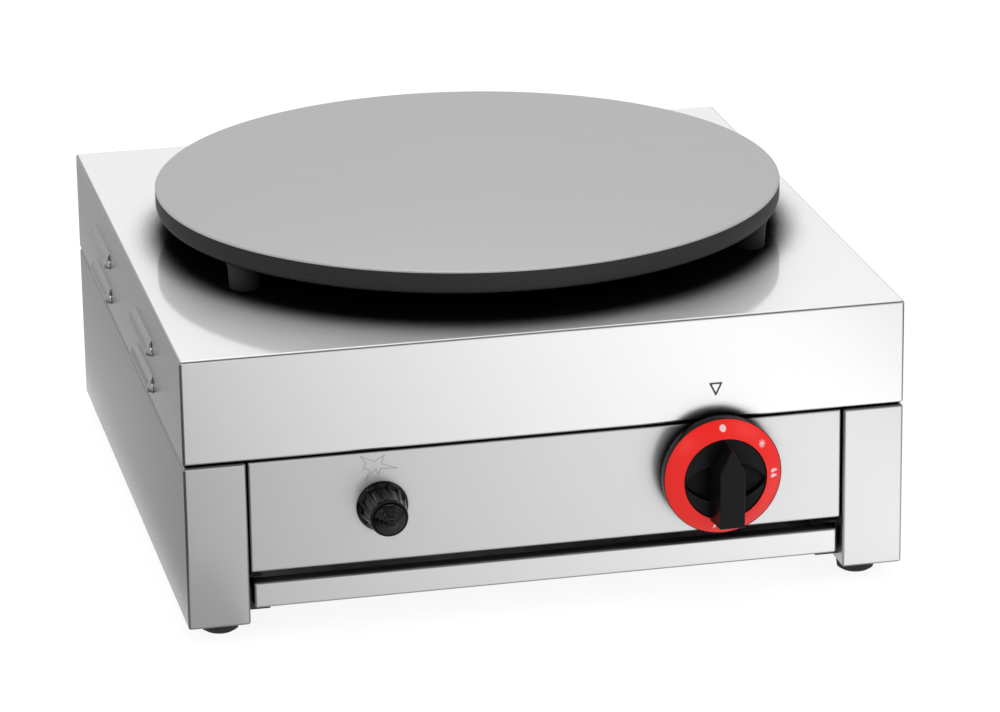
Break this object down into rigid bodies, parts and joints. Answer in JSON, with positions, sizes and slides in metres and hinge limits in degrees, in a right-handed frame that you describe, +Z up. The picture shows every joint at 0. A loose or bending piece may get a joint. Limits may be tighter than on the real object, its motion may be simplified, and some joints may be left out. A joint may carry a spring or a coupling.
{
  "type": "gas crepe maker",
  "caption": "Counter-top crepe maker: round cast plate on a folded stainless cabinet with gas burner, tap knob, piezo igniter and slide-out tray.",
  "frame": {"origin": "on the counter, under the middle of the cabinet", "axes": "+X to the viewer's right, +Y to the back, +Z up; the controls face -Y"},
  "size_m": [0.455, 0.524, 0.2128],
  "materials": {
    "stainless_bright": "polished stainless steel, fine horizontal brushing",
    "stainless_brushed": "stainless steel, fine horizontal brushing",
    "stainless_plain": "plain rolled stainless steel",
    "galvanised_steel": "galvanised folded steel",
    "black_steel": "black coated steel",
    "zinc_fasteners": "zinc-plated steel",
    "cast_plate": "machined top, dark coated edge and underside",
    "burner_iron": "cast iron, heat-darkened",
    "brass": "turned brass",
    "gas_pipe": "drawn steel pipe",
    "spindle_steel": "turned steel",
    "black_knob": "black thermoset, semi-gloss",
    "red_dial": null,
    "black_gloss": "glossy black moulding",
    "black_nylon": "black nylon",
    "black_rubber": "moulded rubber",
    "white_ceramic": null,
    "copper_lead": "copper capillary and steel probe",
    "silicone_lead": "silicone insulated high-tension lead"
  },
  "bodies": {
    "cabinet": {"hood": "stainless_bright", "side_panel_left": "stainless_brushed", "side_panel_right": "stainless_brushed", "rear_panel": "stainless_brushed", "control_panel": "stainless_brushed", "tray_runner_left": "black_steel", "tray_runner_right": "black_steel", "tray_glide_left": "black_nylon", "tray_glide_right": "black_nylon", "runner_rivets": "zinc_fasteners", "hood_screws": "zinc_fasteners", "hood_nuts": "zinc_fasteners", "hood_spacers": "black_nylon", "rear_panel_screws": "zinc_fasteners", "panel_screws": "zinc_fasteners", "panel_spacers": "black_nylon", "foot_screws": "zinc_fasteners", "feet": "black_rubber", "cooking_plate": "cast_plate", "plate_bolts": "zinc_fasteners", "plate_washers": "zinc_fasteners", "burner": "burner_iron", "burner_rail_front": "galvanised_steel", "burner_rail_rear": "galvanised_steel", "burner_screws": "zinc_fasteners", "mixing_tube": "burner_iron", "air_shutter": "galvanised_steel", "injector": "brass", "injector_holder": "brass", "injector_bracket": "galvanised_steel", "inlet_nipple": "brass", "inlet_locknut": "brass", "gas_inlet_pipe": "gas_pipe", "burner_feed_pipe": "gas_pipe", "pipe_nuts": "brass", "gas_tap_body": "brass", "tap_screws": "zinc_fasteners", "tap_magnet_unit": "brass", "igniter_body": "black_gloss", "igniter_nut": "black_gloss", "sensor_bracket": "galvanised_steel", "ignition_electrode": "white_ceramic", "electrode_rod": "spindle_steel", "thermocouple": "copper_lead", "ignition_lead": "silicone_lead", "heat_shield": "galvanised_steel"},
    "tray": {"tray_pan": "stainless_plain", "tray_front": "stainless_brushed"},
    "knob_push_rod": {"tap_push_rod": "spindle_steel"},
    "knob": {"tap_spindle": "spindle_steel", "knob_grip": "black_knob", "knob_dial": "red_dial", "knob_clip": "spindle_steel"},
    "igniter_button": {"igniter_button": "black_gloss"}
  },
  "joints": [
    {"name": "tray_slide", "type": "slide", "parent": "cabinet", "child": "tray", "axis": [0, -1, 0], "range_m": [0, 0.3]},
    {"name": "knob_push", "type": "slide", "parent": "cabinet", "child": "knob_push_rod", "axis": [0, 1, 0], "range_m": [0, 0.005], "stiffness_N_per_m": 600},
    {"name": "knob_turn", "type": "hinge", "parent": "knob_push_rod", "child": "knob", "pos_m": [0.1053, -0.245, 0.0827], "axis": [0, -1, 0], "range_deg": [0, 190]},
    {"name": "igniter_push", "type": "slide", "parent": "cabinet", "child": "igniter_button", "axis": [0, 1, 0], "range_m": [0, 0.0055], "stiffness_N_per_m": 900}
  ]
}
